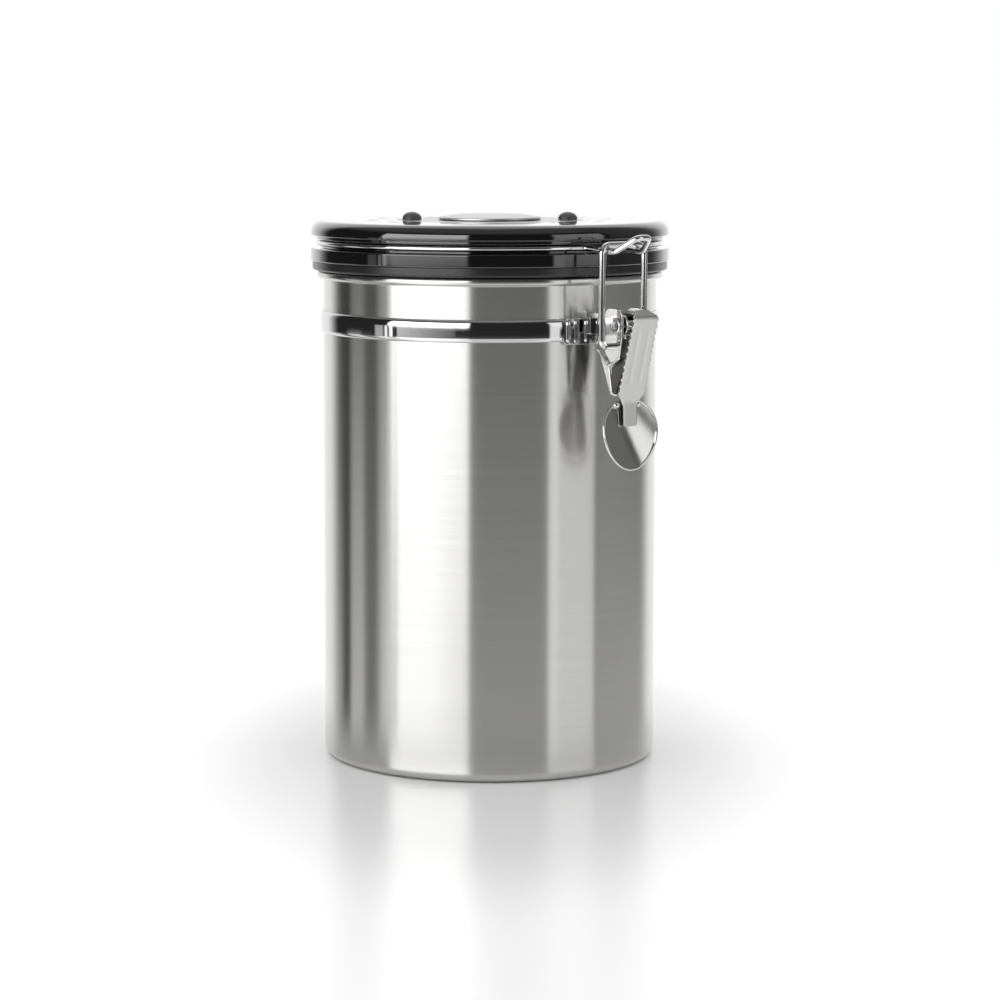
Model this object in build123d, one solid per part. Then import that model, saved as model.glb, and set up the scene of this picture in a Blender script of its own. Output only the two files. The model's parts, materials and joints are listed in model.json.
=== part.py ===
from build123d import *
import math
import os

# A steel coffee canister: a straight can, a hinged black lid with a one-way vent, and a wire latch.
# Millimetres. The origin is the centre of the base, +Z is up, the latch faces -Y and the hinge faces +Y.

# Fits
overrun = 2.0           # how far a cut runs past what it cuts
seat_gap = 0.05         # between fixed pieces that bear on each other
running_gap = 0.05      # round a pin in its hole
loose_gap = 0.2         # round a piece that drops into its seat
edge_round_share = 0.6  # rounding of a small head, share of its height
moving_gap = 0.3        # between pieces that pass each other

# Can
can_radius = 58.5
can_wall = 0.8
can_height = 171.6      # to the top of the rolled rim
base_corner = 3.0       # outside radius where the wall meets the base
rim_overhang = 2.3      # how far the rolled rim stands out of the wall
rim_height = 2.6
rim_round = 1.0

# Band round the neck
band_drop = 14.7        # from the top of the rim to the top of the band
band_height = 7.0
band_strap = 0.6
band_bead = 0.5         # radius of the strap's rolled edges
band_split = 3.0        # space between the strap's two ends, behind

# Lid stack, from the rim up
gasket_height = 3.1
gasket_overhang = 1.6   # past the rim
gasket_round = 0.8
gasket_tongue_width = 3.8
gasket_tongue_height = 1.8
skirt_overhang = 0.7    # past the gasket
skirt_height = 4.6
groove_height = 4.4
groove_step_height = 1.3   # step under the lip, above the wire
groove_step_inset = 1.9    # step inside the skirt's radius
lip_height = 5.1
lip_inset = 0.1         # the lip is this much smaller than the skirt
lip_round = 4.0
skirt_round = 0.7
lid_wall = 2.9          # behind the groove
lid_plate = 1.8
tongue_gap = 0.1

# Wire hoop in the lid's groove
hoop_wire = 1.0         # radius
hoop_inset = 2.8        # centre of the wire inside the skirt's radius
hoop_rise = 1.8         # centre of the wire above the groove's lower side
hoop_leave = 8.4        # half width where the wire leaves the groove at the front
nose_half_width = 6.2
nose_saddle = 11.9      # lowest place of the nose, past the skirt, where the bail sits
nose_dip = 1.0          # lowest place below the groove's wire
nose_reach = 19.4       # tip past the skirt
nose_lift = 4.0         # tip above the groove's wire
nose_neck_bend = 2.2
nose_saddle_bend = 5.5
nose_tip_half_width = 2.6
nose_tip_bend = 2.4
leg_half_width = 9.3    # rear legs, from the middle
leg_clearance = 1.9     # rear legs outside the skirt
leg_bend = 2.4
hinge_end = 3.1         # how far each end is turned in to the hinge
leg_foot_bend_share = 0.9    # bend where a leg leaves the groove, share of the leg's bend
hinge_bend_share = 0.5       # bend of the turned-in end, share of its length

# Hinge bracket, behind
bracket_plate = 0.8
bracket_lip = 0.9       # how far a bracket stands above and below the band
hinge_wing_angle = 19.0
hinge_ear_sheet = 0.9
hinge_ear_round = 2.9
hinge_ear_foot = 3.2    # half height of an ear where it leaves the plate

# Rivets that close the band
rivet_shank = 1.2
rivet_head = 2.1
rivet_head_height = 0.7
rivet_angle = 12.5

# Latch bracket, in front
latch_wing_angle = 13.6
ear_middle = 3.0        # middle of each ear, from the centre plane
ear_sheet = 0.8
ear_round = 3.8
ear_foot = 3.8

# Bail
bail_wire = 1.1         # radius
bail_stand_off = 9.2    # middle of the wire past the skirt
bail_half_width = 9.2
bail_top_bend = 3.2
bail_foot_bend = 2.0
bail_end_gap = 0.4      # between the bail's ends and the bracket's ears

# Lever: places are measured from its pivot, outwards and upwards
pivot_rise = 2.6        # pivot above the middle of the band
over_centre = 2.65      # pivot outside the plane of the bail
bail_hole_drop = 7.0    # the bail's hole below the pivot
lever_sheet = 0.9
flange_gap = 0.8        # between an ear and a flange
pivot_pin = 1.45
pivot_head = 2.5
pivot_head_height = 0.8
flange_left = 5.9
flange_top = 5.6
flange_right = 2.9
flange_step_out = 7.6
flange_step_down = 3.7
flange_round = 2.6
foot_left = 2.1
horn_left = 8.4
horn_down = 8.6
vee_left = 2.9
vee_down = 13.6
joggle = 0.6            # how far the lower part of a flange stands proud
web_top_out = 9.8
web_top_up = 2.9
web_foot_out = 1.1
web_foot_down = 23.4
web_top_half_width = 5.6
web_foot_half_width = 6.0
tooth_pitch = 2.2
tooth_depth = 0.6
lip_fold_in = 2.4
lip_fold_up = 2.5
lip_fold_half_width = 2.6
groove_offset = 2.1
groove_width = 1.0
groove_depth = 0.3
groove_end_margin = 4.0
groove_round_share = 0.45    # corner of a pressed groove, share of its width
flange_edge_share = 0.5      # flange edge behind the web's face, share of the sheet
joggle_right_share = 0.9     # foot of the vee on the web's side, share of the horn's drop

# Thumb paddle at the lever's end
paddle_drop = 36.5      # middle of the paddle below the pivot
paddle_half_width = 11.9
paddle_half_height = 12.2
paddle_dish = 26.0      # radius of the dished face
paddle_rim_out = 2.1    # middle of the rim's plane outside the pivot
paddle_tilt = 3.0
tongue_radius = 2.2
tongue_top_drop = 20.5
tongue_foot_drop = 32.5
tongue_sink = 3.2       # middle of the tongue's foot behind the rim's plane
neck_half_width = 4.2
neck_drop = 28.0

# Middle of the lid: dial, cap and vent
dial_outer = 32.5
dial_inner = 16.6
dial_thickness = 1.4
dial_float = 0.2        # under the dial, and between the dial and the cap
nub_radius = 3.3
nub_circle = 27.7
nub_height = 3.5
nub_angle = -38.0       # from +X to the first nub
notch_width = 2.4
notch_length = 1.6
tick_count = 12
tick_length = 2.2
tick_width = 0.6
tick_depth = 0.3
tick_margin = 1.2
cap_radius = 18.0
cap_rim_height = 0.8
cap_bevel_inset = 7.0
cap_height = 1.8
cap_dome = 0.2
cap_hub = 16.3
cap_hub_wall = 2.3
cap_vent_count = 4
cap_vent_width = 3.0
cap_vent_height = 0.9
cap_snap_wall = 0.8
vent_bore = 12.0        # hole through the lid's top plate
liner_thickness = 2.0
liner_rise = 2.0        # underside of the liner above the gasket's foot
liner_curb = 3.0
liner_curb_wall = 2.0
valve_radius = 10.8
valve_wall = 1.5        # barrel
valve_height = 12.2     # above the liner's underside
valve_flange = 2.4
valve_flange_height = 1.4
valve_floor = 1.2
valve_floor_rise = 2.0
valve_post = 1.1
valve_post_height = 3.6
port_count = 6
port_radius = 1.0
port_circle_share = 0.54  # of the barrel's inside radius
flap_clearance = 0.9    # round the flap
flap_thickness = 0.8
flap_travel = 1.2
flap_float = 0.1
cage_thickness = 1.2
cage_hole_radius = 1.3
filter_thickness = 1.4
grille_thickness = 1.3
grille_slot_width = 1.2
grille_slot_count = 5
grille_spread_share = 0.8  # outermost slots' distance, share of the slotted circle
grille_margin = 2.0

# Places that follow
rim_radius = can_radius + rim_overhang
band_top = can_height - band_drop
band_low = band_top - band_height
band_middle = band_low + band_height / 2
band_inner = can_radius + seat_gap
band_outer = band_inner + 2 * band_bead
plate_inner = band_outer + seat_gap
plate_outer = plate_inner + bracket_plate
plate_low = band_low - bracket_lip
plate_top = band_top + bracket_lip

gasket_low = can_height + moving_gap
skirt_low = gasket_low + gasket_height
groove_low = skirt_low + skirt_height
lip_low = groove_low + groove_height
lid_top = lip_low + lip_height
gasket_radius = rim_radius + gasket_overhang
skirt_radius = gasket_radius + skirt_overhang
lip_radius = skirt_radius - lip_inset
hoop_radius = skirt_radius - hoop_inset
hoop_z = groove_low + hoop_rise
groove_floor = hoop_radius - hoop_wire - loose_gap
lid_cavity = groove_floor - lid_wall
tongue_middle = (lid_cavity + skirt_radius) / 2
gasket_inner = lid_cavity + moving_gap

hinge_y = skirt_radius + hoop_wire + leg_clearance
hinge_z = band_middle
hinge_pin_tip = leg_half_width - hinge_end
hinge_ear_middle = leg_half_width - hoop_wire - moving_gap - hinge_ear_sheet / 2

bail_r = skirt_radius + bail_stand_off
leave_r = math.sqrt(hoop_radius ** 2 - hoop_leave ** 2)
neck_r = leave_r + (hoop_leave - nose_half_width) * hoop_leave / leave_r
saddle_r = skirt_radius + nose_saddle
dip_at_bail = nose_dip * (bail_r - bail_wire / 2 - neck_r) / (saddle_r - neck_r)
bail_bar_z = hoop_z - dip_at_bail + hoop_wire + bail_wire + seat_gap
pivot_r = bail_r + over_centre
pivot_z = band_middle + pivot_rise
bail_hole_z = pivot_z - bail_hole_drop
ear_outer = ear_middle + ear_sheet / 2
flange_inner = ear_outer + flange_gap
flange_middle = flange_inner + lever_sheet / 2
flange_outer = flange_inner + lever_sheet
bail_tip = ear_outer + bail_end_gap

recess_floor = lid_top - dial_thickness - dial_float
plate_underside = recess_floor - lid_plate
dial_low = recess_floor + dial_float
cap_low = lid_top + dial_float
liner_low = gasket_low + liner_rise
valve_floor_low = liner_low + valve_floor_rise
flap_low = valve_floor_low + valve_floor + flap_float
cage_low = flap_low + flap_thickness + flap_travel + flap_float
valve_foot = liner_low - valve_flange_height
grille_radius = valve_radius - valve_wall
port_circle = grille_radius * port_circle_share
flap_radius = grille_radius - flap_clearance


def revolved(profile):
    """A solid of revolution about the can's axis, from a face drawn as radius and height."""
    return revolve(Plane.XZ * profile, Axis.Z)


def section(*corners):
    """A straight-sided face from corners given as (radius, height)."""
    return make_face(Polyline(*corners, close=True))


def box_section(inner, outer, low, high):
    """A rectangular face between two radii and two heights."""
    return section((inner, low), (outer, low), (outer, high), (inner, high))


def rounded(face, radius, *corners):
    """The face with the corners nearest to the given points rounded."""
    found = [min(face.vertices(), key=lambda v: (v.X - x) ** 2 + (v.Y - y) ** 2) for x, y in corners]
    return fillet(found, radius)


def ring(inner, outer, low, high):
    """A plain ring about the can's axis."""
    return revolved(box_section(inner, outer, low, high))


def disc(radius, low, high, x=0, y=0):
    """A plain upright cylinder between two heights."""
    return Pos(x, y, (low + high) / 2) * Cylinder(radius, high - low)


def around(solid, count, start=0.0):
    """Copies of a solid set evenly about the can's axis."""
    return [Rot(0, 0, start + 360 * i / count) * solid for i in range(count)]


def sector(inner, outer, low, high, half_angle, azimuth):
    """A curved plate that wraps the can, centred on an azimuth counted from +X."""
    plate = revolve(Plane.XZ * box_section(inner, outer, low, high), Axis.Z, 2 * half_angle)
    return Rot(0, 0, azimuth - half_angle) * plate


def side_plate(face, middle, thickness, facing=-1):
    """A flat plate across the X axis, its face drawn as distance from the can's axis and height."""
    plane = Plane(origin=(middle, 0, 0), x_dir=(0, facing, 0), z_dir=(facing, 0, 0))
    return extrude(plane * face, thickness / 2, both=True)


def cross_pin(radius, length, y, z, x=0):
    """A cylinder that lies along X."""
    return Pos(x, y, z) * Rot(0, 90, 0) * Cylinder(radius, length)


def tube(path, radius):
    """A round wire along a path."""
    start = Plane(origin=path @ 0, z_dir=path % 0)
    return sweep(start * Circle(radius), path=path)


def canister_body():
    """Drawn steel can: flat base, straight wall, rolled rim."""
    inner = can_radius - can_wall
    wall = section((0, 0), (can_radius, 0), (can_radius, can_height - rim_round),
                   (inner, can_height - rim_round), (inner, can_wall), (0, can_wall))
    wall = rounded(wall, base_corner, (can_radius, 0))
    wall = rounded(wall, base_corner - can_wall, (inner, can_wall))
    rim = box_section(inner, rim_radius, can_height - rim_height, can_height)
    rim = fillet(rim.vertices(), rim_round)
    return revolved(wall + rim)


def clamp_band():
    """Strap with two rolled edges, split behind and drilled for its rivets."""
    middle = band_inner + band_bead
    strap = box_section(band_inner, band_inner + band_strap, band_low + band_bead, band_top - band_bead)
    edges = [Pos(middle, z) * Circle(band_bead) for z in (band_low + band_bead, band_top - band_bead)]
    band = revolved(strap + edges)
    band -= Pos(0, band_outer, band_middle) * Box(band_split, 2 * (band_outer - band_inner) + overrun,
                                                  band_height + overrun)
    return band - rivet_holes()


def rivet_holes():
    """Round holes through the hinge bracket and the two ends of the band."""
    return [rivet_place(side) * Cylinder(rivet_shank + running_gap, 2 * overrun + 2 * bracket_plate)
            for side in (-1, 1)]


def rivet_place(side):
    """The place of one rivet, with its own +Z pointing outwards."""
    return Rot(0, 0, side * rivet_angle) * Pos(0, band_outer, band_middle) * Rot(-90, 0, 0)


def band_rivets():
    """The two rivets that hold the strap's ends under the hinge bracket."""
    inner_end = band_inner - band_outer
    head_low = plate_outer - band_outer
    rivets = []
    for side in (-1, 1):
        shank = Pos(0, 0, (inner_end + head_low) / 2) * Cylinder(rivet_shank, head_low - inner_end)
        head = Pos(0, 0, head_low + seat_gap + rivet_head_height / 2) * Cylinder(rivet_head, rivet_head_height)
        head = fillet(head.edges().group_by(Axis.Z)[-1], rivet_head_height * edge_round_share)
        bridge = Pos(0, 0, head_low + seat_gap / 2) * Cylinder(rivet_shank, seat_gap)
        rivets.append(rivet_place(side) * (shank + bridge + head))
    return Compound(children=rivets)


def ear_face(reach, height, radius, foot, foot_radius):
    """An ear that widens from a round end to its foot on the bracket's plate."""
    end = Pos(reach, height) * Circle(radius)
    root = section((foot_radius, height - foot), (foot_radius + radius, height - foot),
                   (foot_radius + radius, height + foot), (foot_radius, height + foot))
    return make_hull(end.edges() + root.edges())


def latch_bracket():
    """Plate on the band with two ears for the lever's pivot."""
    plate = sector(plate_inner, plate_outer, plate_low, plate_top, latch_wing_angle, -90)
    foot_radius = math.sqrt(plate_inner ** 2 - ear_outer ** 2) + bracket_plate / 2
    face = ear_face(pivot_r, pivot_z, ear_round, ear_foot, foot_radius)
    face -= Pos(pivot_r, pivot_z) * Circle(pivot_pin + running_gap)
    for side in (-1, 1):
        plate += side_plate(face, side * ear_middle, ear_sheet)
    return plate


def hinge_bracket():
    """Plate behind, over the strap's ends, with two ears for the hoop's turned-in ends."""
    plate = sector(plate_inner, plate_outer, plate_low, plate_top, hinge_wing_angle, 90)
    foot_radius = math.sqrt(plate_inner ** 2 - hinge_ear_middle ** 2) + bracket_plate / 2
    face = ear_face(hinge_y, hinge_z, hinge_ear_round, hinge_ear_foot, foot_radius)
    face -= Pos(hinge_y, hinge_z) * Circle(hoop_wire + running_gap)
    for side in (-1, 1):
        plate += side_plate(face, side * hinge_ear_middle, hinge_ear_sheet, facing=1)
    return plate - rivet_holes()


def lever_pivot_pin():
    """Headed pin through the bracket's ears and the lever's flanges."""
    head_inner = flange_outer + moving_gap / 2
    pin = cross_pin(pivot_pin, 2 * head_inner, -pivot_r, pivot_z)
    for side in (-1, 1):
        head = cross_pin(pivot_head, pivot_head_height, -pivot_r, pivot_z,
                         side * (head_inner + pivot_head_height / 2))
        outer_edge = head.edges().sort_by(Axis.X)[-1 if side > 0 else 0]
        pin += fillet(outer_edge, pivot_head_height * edge_round_share)
    return pin


def web_plane():
    """Plane of the lever's outer face: X across, Y up along the web, origin at the web's foot."""
    rise = web_top_up + web_foot_down
    run = web_top_out - web_foot_out
    foot = (0, -(pivot_r + web_foot_out), pivot_z - web_foot_down)
    return Plane(origin=foot, x_dir=(1, 0, 0), z_dir=(0, -rise, -run))


def web_length():
    """Length of the web from foot to top."""
    return math.hypot(web_top_out - web_foot_out, web_top_up + web_foot_down)


def web_outline():
    """Corners of the web, with saw teeth down both edges."""
    length = web_length()
    teeth = int(length / tooth_pitch)
    edge = []
    for i in range(teeth):
        for along, depth in ((i, tooth_depth), (i + 0.5, 0)):
            y = length * along / teeth
            half = web_foot_half_width + (web_top_half_width - web_foot_half_width) * y / length
            edge.append((half - depth, y))
    edge.append((web_top_half_width - tooth_depth, length))
    return edge + [(-x, y) for x, y in reversed(edge)]


def lever_web():
    """Toothed outer sheet, with a folded lip at its top and two pressed grooves."""
    plane = web_plane()
    length = web_length()
    web = extrude(plane * section(*web_outline()), -lever_sheet)
    for side in (-1, 1):
        groove = Pos(side * groove_offset, length / 2) * RectangleRounded(
            groove_width, length - 2 * groove_end_margin, groove_width * groove_round_share)
        web -= extrude(plane * groove, -groove_depth)
    top_r = pivot_r + web_top_out
    top_z = pivot_z + web_top_up
    fold = Plane(origin=(0, -top_r, top_z), x_dir=(1, 0, 0), z_dir=(0, -lip_fold_up, lip_fold_in))
    fold_length = math.hypot(lip_fold_in, lip_fold_up)
    foot_half = web_top_half_width - tooth_depth
    lip = section((-foot_half, 0), (foot_half, 0), (lip_fold_half_width, fold_length),
                  (-lip_fold_half_width, fold_length))
    return web + extrude(fold * lip, -lever_sheet)


def flange_face():
    """Outline of one flange: a round-topped ear at the pivot, tapering down along the web."""
    inset = lever_sheet * flange_edge_share
    corners = [(-flange_left, flange_top), (flange_right, flange_top), (flange_right, -flange_step_down),
               (flange_step_out - inset, -flange_step_down), (web_foot_out - inset, -web_foot_down),
               (-foot_left, -web_foot_down), (-flange_left, -horn_down)]
    face = section(*[(pivot_r + x, pivot_z + y) for x, y in corners])
    face = rounded(face, flange_round, (pivot_r - flange_left, pivot_z + flange_top),
                   (pivot_r + flange_right, pivot_z + flange_top))
    return face


def joggle_face():
    """Outline of the part of a flange that stands proud, with a vee in its upper edge."""
    inset = lever_sheet * flange_edge_share
    slope = (web_top_out - web_foot_out) / (web_top_up + web_foot_down)
    right_down = horn_down * joggle_right_share
    right = web_foot_out - inset + slope * (web_foot_down - right_down)
    corners = [(-horn_left, -horn_down), (-vee_left, -vee_down), (flange_right, -right_down),
               (right, -right_down), (web_foot_out - inset, -web_foot_down), (-foot_left, -web_foot_down)]
    return section(*[(pivot_r + x, pivot_z + y) for x, y in corners])


def thumb_paddle():
    """Dished oval pressed from the lever's end, hollow side out."""
    middle = Pos(0, -(pivot_r + paddle_rim_out), pivot_z - paddle_drop) * Rot(90 - paddle_tilt, 0, 0)
    centre = math.sqrt(paddle_dish ** 2 - paddle_half_width ** 2)
    shell = Pos(0, 0, centre) * (Sphere(paddle_dish + lever_sheet) - Sphere(paddle_dish))
    depth = 2 * paddle_half_width
    cutter = extrude(Ellipse(paddle_half_width, paddle_half_height), depth / 2, both=True)
    return middle * (shell & cutter)


def paddle_neck():
    """Sloping shoulders and a raised tongue that tie the paddle to the web."""
    plane = web_plane()
    drop = neck_drop - web_foot_down
    foot_half = web_foot_half_width - tooth_depth
    shoulders = section((-foot_half, 0), (foot_half, 0), (neck_half_width, -drop / 2),
                        (neck_half_width, -drop), (-neck_half_width, -drop), (-neck_half_width, -drop / 2))
    neck = extrude(plane * shoulders, -lever_sheet)
    top = Vector(0, -(pivot_r + web_foot_out - tongue_radius / 2), pivot_z - tongue_top_drop)
    foot = Vector(0, -(pivot_r + paddle_rim_out - tongue_sink), pivot_z - tongue_foot_drop)
    line = Line(top, foot)
    neck += tube(line, tongue_radius)
    for end in (top, foot):
        neck += Pos(*end) * Sphere(tongue_radius)
    return neck


def latch_lever():
    """Pressed steel lever: channel, pivot ears, toothed web and thumb paddle."""
    lever = lever_web()
    plain = flange_face()
    proud = joggle_face()
    for side in (-1, 1):
        lever += side_plate(plain, side * flange_middle, lever_sheet)
        lever += side_plate(proud, side * (flange_middle + joggle / 2), lever_sheet + joggle)
    lever += paddle_neck()
    lever += thumb_paddle()
    width = 2 * (flange_outer + joggle + overrun)
    lever -= cross_pin(pivot_pin + running_gap, width, -pivot_r, pivot_z)
    lever -= cross_pin(bail_wire + running_gap, width, -bail_r, bail_hole_z)
    return lever


def bail():
    """Wire loop from the lever's flanges up over the lid's nose."""
    corners = [(bail_tip, bail_hole_z), (bail_half_width, bail_hole_z), (bail_half_width, bail_bar_z),
               (-bail_half_width, bail_bar_z), (-bail_half_width, bail_hole_z), (-bail_tip, bail_hole_z)]
    points = [(x, -bail_r, z) for x, z in corners]
    bends = [bail_foot_bend, bail_top_bend, bail_top_bend, bail_foot_bend]
    return tube(FilletPolyline(*points, radius=bends), bail_wire)


def nose_path():
    """Front loop of the hoop, from where it leaves the groove on one side to the other side."""
    tip_r = skirt_radius + nose_reach
    tip_z = hoop_z + nose_lift
    saddle_z = hoop_z - nose_dip
    half = [(hoop_leave, -leave_r, hoop_z), (nose_half_width, -neck_r, hoop_z),
            (nose_half_width, -saddle_r, saddle_z), (nose_tip_half_width, -tip_r, tip_z)]
    points = half + [(-x, y, z) for x, y, z in reversed(half)]
    bends = [nose_neck_bend, nose_saddle_bend, nose_tip_bend]
    return FilletPolyline(*points, radius=bends + bends[::-1])


def leg_path(side):
    """One rear leg of the hoop: out of the groove, down, and in to the hinge."""
    leave_x = leg_half_width + 2 * leg_bend
    leave_y = math.sqrt(hoop_radius ** 2 - leave_x ** 2)
    turn_y = leave_y + (leave_x - leg_half_width) * leave_x / leave_y
    points = [(side * leave_x, leave_y, hoop_z), (side * leg_half_width, turn_y, hoop_z),
              (side * leg_half_width, hinge_y, hoop_z), (side * leg_half_width, hinge_y, hinge_z),
              (side * hinge_pin_tip, hinge_y, hinge_z)]
    bends = [leg_bend * leg_foot_bend_share, leg_bend, hinge_end * hinge_bend_share]
    return FilletPolyline(*points, radius=bends)


def side_arc(side):
    """The hoop's half circle in the groove, from the rear leg to the nose."""
    rear_x = leg_half_width + 2 * leg_bend
    rear = (side * rear_x, math.sqrt(hoop_radius ** 2 - rear_x ** 2), hoop_z)
    front = (side * hoop_leave, -math.sqrt(hoop_radius ** 2 - hoop_leave ** 2), hoop_z)
    return ThreePointArc(rear, (side * hoop_radius, 0, hoop_z), front)


def wire_hoop():
    """One bent wire round the lid: hinge ends behind, groove at the sides, nose in front."""
    runs = [leg_path(1), side_arc(1), nose_path(), side_arc(-1), leg_path(-1)]
    edges = [edge for run in runs for edge in run.edges()]
    whole = Wire(edges)
    return tube(whole, hoop_wire)


def gasket():
    """Black sealing ring with a tongue that fills the lid's channel."""
    foot = box_section(gasket_inner, gasket_radius, gasket_low, skirt_low)
    foot = rounded(foot, gasket_round, (gasket_radius, gasket_low), (gasket_inner, gasket_low))
    half = gasket_tongue_width / 2
    tongue = box_section(tongue_middle - half, tongue_middle + half, skirt_low - gasket_round,
                         skirt_low + gasket_tongue_height)
    return revolved(foot + tongue)


def lid_shell():
    """Moulded lid: skirt, wire groove, rounded lip, top plate with a recess for the dial."""
    half = gasket_tongue_width / 2 + tongue_gap
    channel_top = skirt_low + gasket_tongue_height + tongue_gap
    skirt = box_section(lid_cavity, skirt_radius, skirt_low + seat_gap, groove_low)
    skirt = rounded(skirt, skirt_round, (skirt_radius, groove_low), (skirt_radius, skirt_low + seat_gap))
    neck = box_section(lid_cavity, groove_floor, groove_low - skirt_round, lip_low + skirt_round)
    step = box_section(lid_cavity, skirt_radius - groove_step_inset, lip_low - groove_step_height,
                       lip_low + skirt_round)
    crown = box_section(0, lip_radius, lip_low, lid_top)
    crown = rounded(crown, lip_round, (lip_radius, lid_top))
    crown = rounded(crown, skirt_round, (lip_radius, lip_low))
    profile = skirt + neck + step + crown
    profile -= box_section(0, lid_cavity, lip_low - overrun, plate_underside)
    profile -= box_section(tongue_middle - half, tongue_middle + half, skirt_low - overrun, channel_top)
    profile -= box_section(0, dial_outer + moving_gap, recess_floor, lid_top + overrun)
    profile -= box_section(0, vent_bore, plate_underside - overrun, recess_floor + overrun)
    tick_r = dial_outer + moving_gap + tick_margin + tick_length / 2
    tick = Pos(tick_r, 0, lid_top) * Box(tick_length, tick_width, 2 * tick_depth)
    return revolved(profile) - around(tick, tick_count)


def lid_liner():
    """Disc that closes the lid from below and carries the valve."""
    radius = lid_cavity - loose_gap
    plate = box_section(valve_radius + seat_gap, radius, liner_low, liner_low + liner_thickness)
    curb = box_section(radius - liner_curb_wall, radius, liner_low + liner_thickness / 2,
                       liner_low + liner_thickness + liner_curb)
    return revolved(plate + curb)


def date_dial():
    """Flat ring that turns in the lid's recess, with two finger nubs and an index notch."""
    dial = ring(dial_inner, dial_outer, dial_low, dial_low + dial_thickness)
    dial -= Pos(dial_outer - notch_length / 2, 0, lid_top) * Box(2 * notch_length, notch_width / 2,
                                                                 dial_thickness)
    foot = lid_top - dial_thickness / 2
    ball = lid_top + nub_height - nub_radius
    for place in (nub_circle, -nub_circle):
        dome = Pos(place, 0, ball) * Sphere(nub_radius) & disc(nub_radius, foot, lid_top + nub_height, place)
        dial += disc(nub_radius, foot, ball, place) + dome
    return Rot(0, 0, nub_angle) * dial


def centre_cap():
    """Bevelled metal cap over the vent: it holds the dial down and snaps into the lid."""
    rim = cap_low + cap_rim_height
    top = cap_low + cap_height
    plateau = cap_radius - cap_bevel_inset
    snap_outer = vent_bore - loose_gap
    crown = section((0, cap_low), (cap_radius, cap_low), (cap_radius, rim), (plateau, top),
                    (0, top + cap_dome))
    hub = box_section(cap_hub - cap_hub_wall, cap_hub, recess_floor, cap_low + seat_gap)
    snap = box_section(snap_outer - cap_snap_wall, snap_outer, plate_underside - seat_gap, cap_low + seat_gap)
    cap = revolved(crown + hub + snap)
    vent_low = cap_low - cap_vent_height
    vent = Pos(cap_radius / 2, 0, vent_low + cap_vent_height / 2) * Box(cap_radius, cap_vent_width,
                                                                        cap_vent_height)
    return cap - around(vent, cap_vent_count, nub_angle)


def valve_body():
    """Vent barrel: flange under the liner, ported floor and a guide post for the flap."""
    top = liner_low + valve_height
    inner = valve_radius - valve_wall
    barrel = box_section(inner, valve_radius, valve_foot, top)
    flange = box_section(inner, valve_radius + valve_flange, valve_foot, liner_low - seat_gap)
    floor_high = valve_floor_low + valve_floor
    floor = box_section(0, valve_radius - valve_wall / 2, valve_floor_low, floor_high)
    post = box_section(0, valve_post, floor_high - valve_floor / 2, floor_high + valve_post_height)
    body = revolved(barrel + flange + floor + post)
    port = disc(port_radius, valve_floor_low - overrun, floor_high + overrun, port_circle)
    return body - around(port, port_count)


def valve_flap():
    """Soft disc that seals the ports and lifts when gas pushes it."""
    return ring(valve_post + 2 * running_gap, flap_radius, flap_low, flap_low + flap_thickness)


def valve_cage():
    """Holed disc that keeps the flap in the barrel."""
    radius = grille_radius - seat_gap
    cage = disc(radius, cage_low, cage_low + cage_thickness)
    hole = disc(cage_hole_radius, cage_low - overrun, cage_low + cage_thickness + overrun, port_circle)
    cage -= around(hole, port_count, 180 / port_count)
    return cage - disc(valve_post + running_gap, cage_low - overrun, cage_low + cage_thickness + overrun)


def filter_disc():
    """Felt disc between the grille and the ported floor."""
    low = valve_foot + grille_thickness + seat_gap
    return disc(grille_radius - 2 * seat_gap, low, low + filter_thickness)


def filter_grille():
    """Slotted disc pressed into the underside of the valve."""
    radius = grille_radius - seat_gap
    slotted = radius - grille_margin
    high = valve_foot + grille_thickness
    grille = disc(radius, valve_foot, high)
    for i in range(grille_slot_count):
        y = (2 * i / (grille_slot_count - 1) - 1) * slotted * grille_spread_share
        half = math.sqrt(slotted ** 2 - y ** 2)
        grille -= Pos(0, y, (valve_foot + high) / 2) * Box(2 * half, grille_slot_width,
                                                           grille_thickness + overrun)
    return grille


pieces = {
    "canister_body": canister_body,
    "clamp_band": clamp_band,
    "latch_bracket": latch_bracket,
    "lever_pivot_pin": lever_pivot_pin,
    "hinge_bracket": hinge_bracket,
    "band_rivets": band_rivets,
    "latch_lever": latch_lever,
    "bail_wire": bail,
    "wire_hoop": wire_hoop,
    "gasket": gasket,
    "lid_shell": lid_shell,
    "lid_liner": lid_liner,
    "date_dial": date_dial,
    "centre_cap": centre_cap,
    "valve_body": valve_body,
    "valve_flap": valve_flap,
    "valve_cage": valve_cage,
    "filter_disc": filter_disc,
    "filter_grille": filter_grille,
}

os.makedirs("parts", exist_ok=True)
for name, make in pieces.items():
    solid = make()
    export_step(solid, f"parts/{name}.step")
    print(name, round(solid.volume, 1))
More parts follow.
